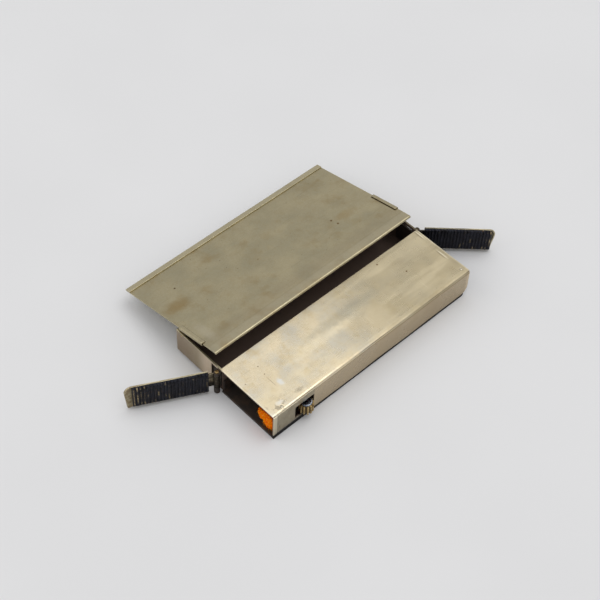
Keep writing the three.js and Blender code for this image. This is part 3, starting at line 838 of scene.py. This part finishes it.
# Wheel panel: a slotted plate with a raised strip at its left edge, a tab above and a shelf inside
def wheel_panel():
    low, high = millimetre_box("wheel_panel")
    axle = box_middle("wheel_axle")
    axle_bottom = millimetre_box("wheel_axle")[0].z
    loops = []
    for x in steps(low.x, high.x, 60):
        outer, inner = [], []
        for z in steps(low.z + PANEL_LIFT, high.z, 14):
            strip = 0.05 * (1 - smooth(PANEL_STRIP - 0.12, PANEL_STRIP + 0.05, x - low.x))
            groove = 0.09 * exp(-((x - low.x - PANEL_STRIP - 0.1) / 0.16) ** 2)
            dent = 0.12 * exp(-((x - low.x - 2.4) / 0.22) ** 2 - ((z - 4) / 1.1) ** 2)
            shift = strip - groove - dent - 0.07 + 0.03 * wobble(4, x, z, 3)
            outer.append((x, low.y - shift, z))
            inner.append((x, low.y + SHEET, z))
        loops.append(outer + inner[::-1])
    thing = lofted("wheel_panel_plate", loops)
    tab_left = box_middle("cover_rivet_left").x - TAB_WIDTH / 2
    tab = block((tab_left, low.y + 0.1, high.z - SHEET), (tab_left + TAB_WIDTH, high.y, high.z))
    shelf_top = axle_bottom + SHEET
    shelf = block((axle.x - SHELF_WIDTH / 2, low.y + 0.35, axle_bottom),
                  (axle.x + SHELF_WIDTH / 2, low.y + SHEET + SHELF_REACH, shelf_top))
    combine(thing, "UNION", tab, shelf)
    left = high.x + SEAM - SLOT_WIDTH
    bottom = shelf_top + 0.1
    top = shelf_top + SLOT_HEIGHT
    outline = rounded([
        (left, bottom + SLOT_STEP, SLOT_CORNER), (left + SLOT_STEP_RUN, bottom + SLOT_STEP),
        (left + SLOT_STEP_RUN + SLOT_STEP, bottom), (high.x + 2, bottom), (high.x + 2, top),
        (left, top, SLOT_CORNER),
    ])
    slot = [[(x, y, z) for x, z in outline] for y in (low.y - 1, low.y + SHEET + SHELF_REACH + 0.05)]
    combine(thing, "DIFFERENCE", slot, upright_rod(STUD_HOLE, axle_bottom - 1, shelf_top + 1, axle))
    round_edges(thing, 0.06)
    return dress(thing, "nickel_plate_dark", "case", "wheel_panel")


# Lid plate: one sheet with a folded hem behind, a crease and a lip that is turned down in front
def lid_sheet():
    low, high = lid_box("lid_plate")
    top = high.z - LID_SHEET - HEM_GAP / 2
    under = top - LID_SHEET
    lip = top - LIP_DROP
    crease = low.y + CREASE_FROM_FRONT
    fold = LID_SHEET + HEM_GAP / 2
    hem = top + HEM_GAP
    section = rounded([
        (low.y, lip + LID_SHEET / 2, 0.05), (low.y, top - CREASE_DROP, LIP_RADIUS), (crease, top),
        (high.y - fold, top), (high.y - fold + 0.02, top + HEM_GAP / 2), (high.y - fold, hem),
        (high.y - HEM_WIDTH, hem), (high.y - HEM_WIDTH, hem + LID_SHEET, 0.1),
        (high.y, hem + LID_SHEET, fold), (high.y, under, fold), (crease, under),
        (low.y + LID_SHEET, under - CREASE_DROP, 0.25), (low.y + LID_SHEET, lip, 0.12), (low.y, lip, 0.12),
    ])
    section = refined(section, 1.2, closed=True)
    loops = []
    for x in steps(low.x, high.x, 120):
        loop = []
        for point in section:
            bow = 0.03 * wobble(16, x, point.x, 5) + 0.01 * wobble(4, x, point.x, 9)
            along = 0.03 * wobble(9, x, 0, 12) * smooth(high.y - HEM_WIDTH, low.y, point.x)
            loop.append(lid_place(x, point.x + along, point.y + bow))
        loops.append(loop)
    thing = lofted("lid_sheet", loops)
    round_edges(thing, 0.06)
    return dress(thing, "nickel_plate_dull", "lid", "lid_plate")


# Lid carrier: a strip under the lid whose ends fold up and over the lid's edges, on two ears
def lid_carrier():
    low, high = lid_box("lid_carrier")
    heel = high.y - EAR_RADIUS + EAR_HEEL
    half = CARRIER_SHEET / 2
    under = lid_box("lid_plate")[1].z - 2 * LID_SHEET - HEM_GAP - CARRIER_GAP - half
    over = high.z - half
    line = refined(rounded([
        (high.x - CLIP_FOLD, over), (high.x - half, over, 0.28), (high.x - half, under, 0.28),
        (low.x + half, under, 0.28), (low.x + half, over, 0.28), (low.x + CLIP_FOLD, over),
    ], closed=False), 2.5)
    sides = normals(line)
    section = [point + side * half for point, side in zip(line, sides)]
    section += [point - side * half for point, side in zip(line, sides)][::-1]
    loops = [[lid_place(point.x, y, point.y) for point in section] for y in steps(low.y, heel, 12)]
    thing = lofted("lid_carrier_strip", loops)
    ear_outline = [(EAR_RADIUS * cos(turn), EAR_RADIUS * sin(turn))
                   for turn in steps(pi, 2 * pi, 12)]
    ear_outline += [(heel - 0.02, under), (-EAR_RADIUS, under)]
    for side in (-1, 1):
        outer = (TRAY_HIGH.x - SHEET - EAR_GAP) * side
        inner = outer - EAR_THICK * side
        ear = [[lid_place(x, y, z) for y, z in ear_outline] for x in sorted((inner, outer))]
        rim = circle(PIVOT_HOLE, 24)
        hole = [[lid_place(x, y, z) for y, z in rim] for x in (outer + side, inner - side)]
        combine(thing, "UNION", ear)
        combine(thing, "DIFFERENCE", hole)
    round_edges(thing, 0.05)
    return dress(thing, "nickel_plate_dull", "carrier", "lid_carrier")


# An arm's own frame: in towards the case, along it from the hinge axis, and up
def arm_frame(label):
    side = ARM_SHAPES[label]["side"]
    joint = joint_named(f"arm_{label}_swing")
    low, high = joint["range_deg"]
    axis = Vector(joint["pos_m"]) / MM
    spin = Matrix.Rotation(radians(-high if side < 0 else -low), 3, "Z")

    def place(inwards, along, z):
        return spin @ Vector((-side * inwards, -along, 0)) + Vector((axis.x, axis.y, z))

    return place


# Heights from low to high, closer together near both
def spread(low, high, parts):
    return [low + (high - low) * (0.5 - 0.5 * cos(turn)) for turn in steps(0, pi, parts)]


# Columns of [spot, side, z] made into a sheet with a face to either side
def two_sided(name, columns, half, place):
    corners = []
    for offset in (half, -half):
        for column in columns:
            corners.extend(place(*(spot + side * offset), z) for spot, side, z in column)
    rows = len(columns[0])
    other = rows * len(columns)
    faces = []
    for column in range(len(columns) - 1):
        for level in range(rows - 1):
            first = column * rows + level
            quad = (first, first + 1, first + rows + 1, first + rows)
            faces.append(quad)
            faces.append(tuple(index + other for index in reversed(quad)))
        for level in (0, rows - 1):
            first = column * rows + level
            faces.append((first, first + rows, first + rows + other, first + other))
    for column in (0, len(columns) - 1):
        for level in range(rows - 1):
            first = column * rows + level
            faces.append((first, first + 1, first + 1 + other, first + other))
    thing = new_object(name, corners, faces)
    face_outwards(thing)
    return thing


# Arm plate: one sheet rolled round its pin, with a narrow neck, a broad plate and a bent tip
def arm_plate(label):
    shape = ARM_SHAPES[label]
    low, high = millimetre_box(f"arm_plate_{label}")
    middle = KNUCKLE - ARM_SHEET / 2
    bend = shape["bend"]
    lean = tan(bend / 2)
    bend_start = shape["reach"] - (ARM_SHEET / 2 + BEND_RADIUS) * lean
    end = shape["reach"] + shape["tip"] - (ARM_SHEET + 2 * BEND_RADIUS) * lean + BEND_RADIUS * bend
    far = shape["reach"] + shape["tip"] * cos(bend)

    def line(along):
        if along < bend_start:
            return Vector((-middle, along))
        turned = min((along - bend_start) / BEND_RADIUS, bend)
        centre = Vector((-middle + BEND_RADIUS, bend_start))
        spot = centre + BEND_RADIUS * Vector((-cos(turned), sin(turned)))
        rest = along - bend_start - turned * BEND_RADIUS
        return spot + rest * Vector((sin(turned), cos(turned)))

    # The sheet's outer side, square to the line
    def facing(along):
        turned = min(max(0, along - bend_start) / BEND_RADIUS, bend)
        return Vector((-cos(turned), sin(turned)))

    # How far the sheet goes at a height: its end slants and its corners are round
    def end_at(z):
        limit = far - TIP_SLANT * (high.z - z) / (high.z - low.z)
        above = z - (high.z - TIP_TOP_RADIUS)
        below = (low.z + TIP_BOTTOM_RADIUS) - z
        for past, radius in ((above, TIP_TOP_RADIUS), (below, TIP_BOTTOM_RADIUS)):
            if past > 0:
                limit -= radius - sqrt(max(0, radius ** 2 - past ** 2))
        reach = end
        while line(reach).y > limit and reach > bend_start:
            reach -= 0.01
        return reach if reach > bend_start else limit

    neck_heights = spread(NECK_BOTTOM, NECK_TOP, ARM_LEVELS)
    columns = []
    for turn in steps(-CURL, 0, 26):
        side = Vector((-cos(turn), sin(turn)))
        columns.append([(side * middle, side, z) for z in neck_heights])
    for along in (0.8, 1.6, NECK - 0.05):
        columns.append([(line(along), facing(along), z) for z in neck_heights])
    parts = 60
    for part in range(parts + 1):
        column = []
        for z in spread(low.z, high.z, ARM_LEVELS):
            along = NECK + (end_at(z) - NECK) * part / parts
            bow = 0.04 * wobble(7, along, z, 4 + shape["side"]) - 0.02
            ragged = 0.05 * wobble(2.5, along, z, 8) - 0.04 if z > high.z - 0.01 else 0
            column.append((line(along) + facing(along) * -bow, facing(along), z + ragged))
        columns.append(column)
    thing = two_sided(f"arm_plate_{label}_sheet", columns, ARM_SHEET / 2, arm_frame(label))
    round_edges(thing, 0.08, angle=50)
    return dress(thing, "nickel_plate_dull", f"arm_{label}", f"arm_plate_{label}")


# Striker: a blued strip with upright ribs, uneven and rubbed on their crests towards the tip
def striker(label):
    shape = ARM_SHAPES[label]
    place = arm_frame(label)
    low, high = millimetre_box(f"striker_{label}")
    back = -KNUCKLE + ARM_SHEET + 0.01
    root = -KNUCKLE + ARM_SHEET + RIB_ROOT
    end = shape["reach"] - ARM_SHEET * tan(shape["bend"] / 2) - 0.3
    ribs = round((end - NECK) / RIB_PITCH)
    pitch = (end - NECK) / ribs
    per_rib = 12
    loops, rubbed, rusty = [], [], []
    for z in spread(low.z, high.z, ARM_LEVELS):
        loop = []
        for step in range(ribs * per_rib + 1):
            along = NECK + pitch * step / per_rib
            lean = 0.07 * wobble(1.5, along, z, 21)
            wave = 0.5 - 0.5 * cos(2 * pi * (along - NECK + lean) / pitch)
            crest = smooth(0.2, 0.8, wave)
            uneven = 0.85 + 0.35 * wobble(1.1, along, z / 3, 3 + shape["side"])
            rough = 0.03 * wobble(0.35, along, z, 31)
            top_cut = 1 - smooth(0, 0.45 + 0.3 * wobble(0.9, along, 2, 2), high.z - z)
            filled = 0.75 * (1 - smooth(0.1, 0.8, z - low.z))
            inwards = root + RIB_DEPTH * (crest * uneven + filled * (1 - crest)) + rough
            inwards -= top_cut * (0.5 * (1 - crest) + 0.1) + 0.1 * (1 - smooth(0, 0.15, z - low.z))
            loop.append(place(min(inwards, root + RIB_DEPTH), along, z))
            tipward = smooth(0.45, 1.0, (along - NECK) / (end - NECK))
            patch = wobble(1.9, along, z, 14) + 0.5 * wobble(0.7, along, z, 19)
            worn = max(0, min(1, shape["worn"] + patch * 1.5 + 0.8 * tipward))
            rubbed.append(smooth(0.4, 0.9, crest) * worn)
            rusty.append(max(0, min(1, 0.3 + tipward)))
        for along in steps(end, NECK, 12):
            loop.append(place(back, along, z))
            rubbed.append(0)
            rusty.append(0)
        loops.append(loop)
    thing = lofted(f"striker_{label}_ribs", loops)
    paint(thing, "rubbed", rubbed)
    paint(thing, "rusty", rusty)
    shade_smooth(thing.data)
    thing.data.set_sharp_from_angle(angle=radians(50))
    return dress(thing, "blued_steel", f"arm_{label}", f"striker_{label}")


# Feed wheel: coarse teeth with rounded crests and chamfered ends
def feed_wheel():
    low, high, centre = WHEEL_LOW, WHEEL_HIGH, box_middle("feed_wheel")
    flank = ((-0.36, TOOTH_DEPTH), (-0.25, TOOTH_DEPTH * 0.8), (-0.2, 0.06), (-0.12, 0))
    tooth_marks = [*flank, *((-share, depth) for share, depth in reversed(flank))]
    chamfer = ((0, 0.18), (0.12, 0.04), (0.3, 0))
    levels = [(low.z + rise, cut) for rise, cut in chamfer]
    levels += [(z, 0) for z in steps(low.z, high.z, 8)[2:7]]
    levels += [(high.z - rise, cut) for rise, cut in reversed(chamfer)]
    loops = []
    for z, cut in levels:
        loop = []
        for tooth in range(WHEEL_TEETH):
            for share, depth in tooth_marks:
                angle = 2 * pi * (tooth + share) / WHEEL_TEETH
                radius = WHEEL_RADIUS - depth - cut - 0.02 + 0.02 * wobble(0.8, tooth, z, share)
                loop.append((centre.x + radius * cos(angle), centre.y + radius * sin(angle), z))
        loops.append(loop)
    thing = lofted("feed_wheel_teeth", loops)
    combine(thing, "DIFFERENCE", upright_rod(WHEEL_BORE, low.z - 1, high.z + 1, centre))
    round_edges(thing, 0)
    thing.data.set_sharp_from_angle(angle=radians(40))
    return dress(thing, "brass", "wheel", "feed_wheel")


# Collar: a dished washer, turned from its outline
def wheel_collar():
    low, high = millimetre_box("wheel_collar")
    centre = box_middle("wheel_collar")
    outer = (high.y - low.y) / 2
    dish = high.z - COLLAR_DISH
    profile = rounded([
        (COLLAR_BORE, low.z), (outer, low.z, 0.05), (outer, high.z, 0.18), (outer * 0.78, high.z, 0.2),
        (outer * 0.66, dish, 0.1), (COLLAR_BORE, dish, 0.08),
    ])
    loops = [[(centre.x + point.x * x, centre.y + point.x * y, point.y) for point in profile]
             for x, y in circle(1, 48)]
    thing = lofted("wheel_collar_ring", loops, ring=True)
    round_edges(thing, 0)
    return dress(thing, "bright_steel", "wheel", "wheel_collar")


CORD_LOW, CORD_HIGH = millimetre_box("tinder_cord")
CORD_RADIUS = (CORD_HIGH.z - CORD_LOW.z) / 2
CORD_Y = CORD_HIGH.y - CORD_RADIUS
CORD_Z = (CORD_LOW.z + CORD_HIGH.z) / 2


# The front of the cord: flat beside the wheel, so that the cord can be drawn back
def cord_front(x, level):
    wheel_x = (WHEEL_LOW.x + WHEEL_HIGH.x) / 2
    past = smooth(FLAT_PAST_WHEEL, FLAT_PAST_WHEEL + FLAT_FADE, x - wheel_x)
    near = smooth(CORD_LOW.x + 1, CORD_LOW.x + 3, x) * (1 - past)
    return CORD_LOW.y + (level - CORD_LOW.y) * near


# A place on the cord, pressed back to that front
def pressed(x, y, z):
    limit = cord_front(x, WHEEL_HIGH.y + 0.25)
    return Vector((x, y if y >= limit else limit + 0.08 * (y - limit), z))


# A strand that turns round the cord's middle line, with a dome at its outer end
def cord_strand(start, reach, size, turn, dome):
    rows = [start + dome * (1 - cos(pi / 2 * step / 5)) for step in range(1, 6)]
    along = start + dome
    while along < CORD_HIGH.x - 0.3:
        rows.append(along)
        along += 0.6
    rows.append(CORD_HIGH.x - 0.05)
    loops = []
    for x in rows:
        here = size * max(sqrt(max(0, 1 - max(0, (start + dome - x) / dome) ** 2)), 0.2)
        angle = turn + STRAND_TWIST * (x - CORD_LOW.x)
        hub_y = CORD_Y + reach * cos(angle)
        hub_z = CORD_Z + reach * sin(angle)
        loops.append([pressed(x, hub_y + y, hub_z + z) for y, z in circle(here, 14)])
    return loft(loops)


# Tinder cord: soft strands twisted round each other, flat where the wheel can reach, frayed at the end
def tinder_cord():
    strand = CORD_RADIUS * STRAND_SHARE
    offset = CORD_RADIUS - strand
    draw = random.Random(11)
    strands = []
    for index in range(STRANDS):
        turn = 2 * pi * index / STRANDS + 0.62
        start = CORD_LOW.x - 0.1 + 0.4 * draw.random()
        strands.append(cord_strand(start, offset, strand * draw.uniform(0.97, 1.06), turn, 1.0))
    strands.append(cord_strand(CORD_LOW.x + 0.7, 0, offset * 0.9, 0, 0.8))
    corners, faces = [], []
    for more_corners, more_faces in strands:
        base = len(corners)
        corners.extend(more_corners)
        faces.extend(tuple(base + index for index in face) for face in more_faces)
    thing = new_object("tinder_cord_strands", corners, faces)
    face_outwards(thing)
    modify(thing, "REMESH", mode="VOXEL", voxel_size=CORD_VOXEL * MM)
    modify(thing, "SMOOTH", iterations=3)
    settle(thing)
    paint(thing, "cord_shade", fluff(thing))
    shade_smooth(thing.data)
    add_fibres(thing, draw)
    return dress(thing, "tinder_cotton", "cord", "tinder_cord")


# Fluffs the cord and lets its end sag in front and at its upper rear, clear of the case and the wheel.
# Gives the shade painted on each corner: dark in the hollows between strands and along the cord's top, under the
# top plate.
def fluff(thing):
    low, high = CORD_LOW, CORD_HIGH
    shifts = []
    for corner in thing.data.vertices:
        place = corner.co / MM
        shifts.append(corner.normal * (0.22 * wobble(0.8, *place) + 0.12 * wobble(0.3, *place) + 0.02))
    painted_shades = []
    for corner, shift in zip(thing.data.vertices, shifts):
        place = corner.co / MM + shift
        place.x = max(place.x, low.x - 0.1)
        end = smooth(low.x + 6, low.x + 2, place.x)
        if place.z < CORD_Z:
            sag = max(0, 1 - abs(place.y - CORD_Y + 2.05) / 2.4) * smooth(low.x + 6, low.x + 1, place.x)
            place.z -= 0.8 * sag
        if place.z < CORD_Z + 1:
            place += 0.1 * end * Vector((0, place.y - CORD_Y, place.z - CORD_Z))
        lobe = smooth(CORD_Y - 0.5, high.y, place.y) * smooth(CORD_Z, high.z, place.z)
        place.z = max(place.z - 2 * end * lobe, low.z - 0.15)
        front = max(COVER_LOW.y + SHEET + 0.1, cord_front(place.x, WHEEL_HIGH.y + 0.08))
        place.y = max(min(place.y, high.y), front)
        corner.co = place * MM
        out = hypot(place.y - CORD_Y, place.z - CORD_Z) / CORD_RADIUS
        crack = 1 - smooth(0.5, 0.95, out + 0.25 * wobble(1.2, *place)) if place.x > low.x + 0.5 else 0
        # painted shade: the hollows between strands, and the top in the shadow of the top plate
        painted_shades.append(max(crack, 0.8 * smooth(CORD_Z + 1.2, CORD_Z + 3, place.z)))
    return painted_shades


# Fine tapered fibres that stand out of the cord's end
def add_fibres(thing, draw):
    low = CORD_LOW
    near = [corner for corner in thing.data.vertices if corner.co.x / MM < low.x + 3]
    behind = millimetre_box("pressure_spring")[0].y - 0.15
    build = bmesh.new()
    build.from_mesh(thing.data)

    def drawn(size):
        return Vector([draw.uniform(-size, size) for _ in range(3)])

    for _ in range(FIBRES):
        corner = near[draw.randrange(len(near))]
        way = (corner.normal + drawn(0.8)).normalized()
        bend = drawn(1) * 0.5
        length = draw.uniform(0.25, 0.75)
        across = way.orthogonal().normalized()
        beside = way.cross(across)
        rings = []
        for share in steps(0, 1, 3):
            middle = corner.co / MM + way * length * share + bend * length * share * share
            middle.x = max(middle.x, low.x - 0.35)
            middle.y = min(max(middle.y, COVER_LOW.y + SHEET + 0.08), behind)
            middle.z = max(middle.z, low.z - 0.2)
            around = circle(FIBRE_RADIUS * (1 - 0.75 * share), 3)
            rings.append([middle + across * a + beside * b for a, b in around])
        corners, faces = loft(rings)
        placed = [build.verts.new(corner * MM) for corner in corners]
        for face in faces:
            build.faces.new([placed[index] for index in face])
    bmesh.ops.recalc_face_normals(build, faces=build.faces)
    build.to_mesh(thing.data)
    build.free()


# Solder over each hinge leaf, which fills the rest of the notch under the tray's rim
def leaf_beads():
    wall = TRAY_HIGH.x - SHEET + 0.02
    for label, shape in ARM_SHAPES.items():
        low, high = millimetre_box(f"hinge_leaf_{label}")
        side = shape["side"]
        bottom = high.z + 0.02
        loops = []
        for y in steps(low.y - 0.1, low.y + 4.1, 40):
            top = high.z + 0.27 + 0.02 * wobble(1.3, y, side, 3)
            outer = 0.18 + 0.05 * wobble(0.9, y, side, 5)
            section = rounded([(0, bottom), (outer, bottom, 0.08), (outer, top, 0.08), (0, top)])
            loops.append([((wall + point.x) * side, y, point.y) for point in section])
        bead = lofted(f"hinge_bead_{label}", loops)
        round_edges(bead, 0)
        dress(bead, "nickel_plate_dull", "case")


# A black strip set back under the wheel panel, which closes the gap above the base plate
def base_lip():
    low, high = millimetre_box("wheel_panel")
    back = low.y + SHEET
    top = low.z + PANEL_LIFT + 0.02
    strip = block((low.x + 0.02, back - STRIP_THICK, CORD_LOW.z - CORD_SEAT), (high.x, back, top))
    lip = lofted("base_plate_lip", strip)
    round_edges(lip, 0.05)
    dress(lip, "blackened_steel", "case")


leaf_beads()
base_lip()
rebuilt = [front_cover(), wheel_panel(), lid_sheet(), lid_carrier()]
rebuilt += [feed_wheel(), wheel_collar(), tinder_cord()]
for label in ARM_SHAPES:
    rebuilt += [arm_plate(label), striker(label)]

EDGE_WIDTHS = {"rear_tray": 0.08, "base_plate": 0.12}
hidden = {node for thing in rebuilt for node in thing["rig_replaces"]}
for row in frame["record"]["subparts"]:
    node = row["node"]
    if node in hidden:
        continue
    solid = frame["nodes"][node]
    solid.data.materials.clear()
    solid.data.materials.append(MATERIALS[row["material_slot"]])
    soften(node, EDGE_WIDTHS.get(node, 0.05))


# A wide, nearly white floor
def add_floor():
    half = 2000
    corners = [(-half, -half, 0), (half, -half, 0), (half, half, 0), (-half, half, 0)]
    floor = new_object("floor", corners, [(0, 1, 2, 3)])
    n = Nodes("floor")
    colour = n.mix(n.patchy(60, 0.3, 0.7, detail=2), (218, 218, 219), (216, 216, 217))
    floor.data.materials.append(n.finish(colour, 0.9, 0))


def add_lamp(name, place, size, power):
    data = bpy.data.lights.new(name, "AREA")
    data.shape = "DISK"
    data.size = size
    data.energy = power
    lamp = add_object(name, data)
    lamp.location = place
    lamp.rotation_euler = Vector(place).to_track_quat("Z", "Y").to_euler()


# A plain sky: dim near the horizon, with a broad bright cover overhead
def add_world(low, middle, high):
    n = Nodes("studio", bpy.data.worlds)
    rise = n.make("SeparateXYZ", "Z", {"Vector": n.make("TexCoord", "Generated")})
    light = n.plus(n.ramp(rise, 0.1, 0.6, low, middle), n.ramp(rise, 0.7, 0.86, 0, high - middle))
    sky = n.make("Background", "Background", {"Color": (255, 255, 255), "Strength": light})
    bpy.context.scene.world = n.close("OutputWorld", sky)


def add_camera():
    level = cos(CAMERA_ELEVATION)
    back = Vector((sin(CAMERA_AZIMUTH) * level, -cos(CAMERA_AZIMUTH) * level, sin(CAMERA_ELEVATION)))
    right = Vector((cos(CAMERA_AZIMUTH), sin(CAMERA_AZIMUTH), 0))
    turn = Matrix((right, back.cross(right), back)).transposed() @ Matrix.Rotation(CAMERA_ROLL, 3, "Z")
    data = bpy.data.cameras.new("camera")
    data.lens = CAMERA_LENS
    data.sensor_width = SENSOR_WIDTH
    data.clip_start = 0.01
    data.clip_end = 20
    camera = add_object("camera", data)
    camera.matrix_world = Matrix.Translation(CAMERA_TARGET + back * CAMERA_DISTANCE) @ turn.to_4x4()
    bpy.context.scene.camera = camera


add_camera()
add_floor()
add_world(0.5, 0.66, 1.02)
add_lamp("overhead", (0.34, -0.16, 1.1), 0.85, 3.0)
add_lamp("fill", (-0.75, 0.55, 0.75), 0.9, 2)

bpy.context.scene.view_settings.view_transform = "Standard"
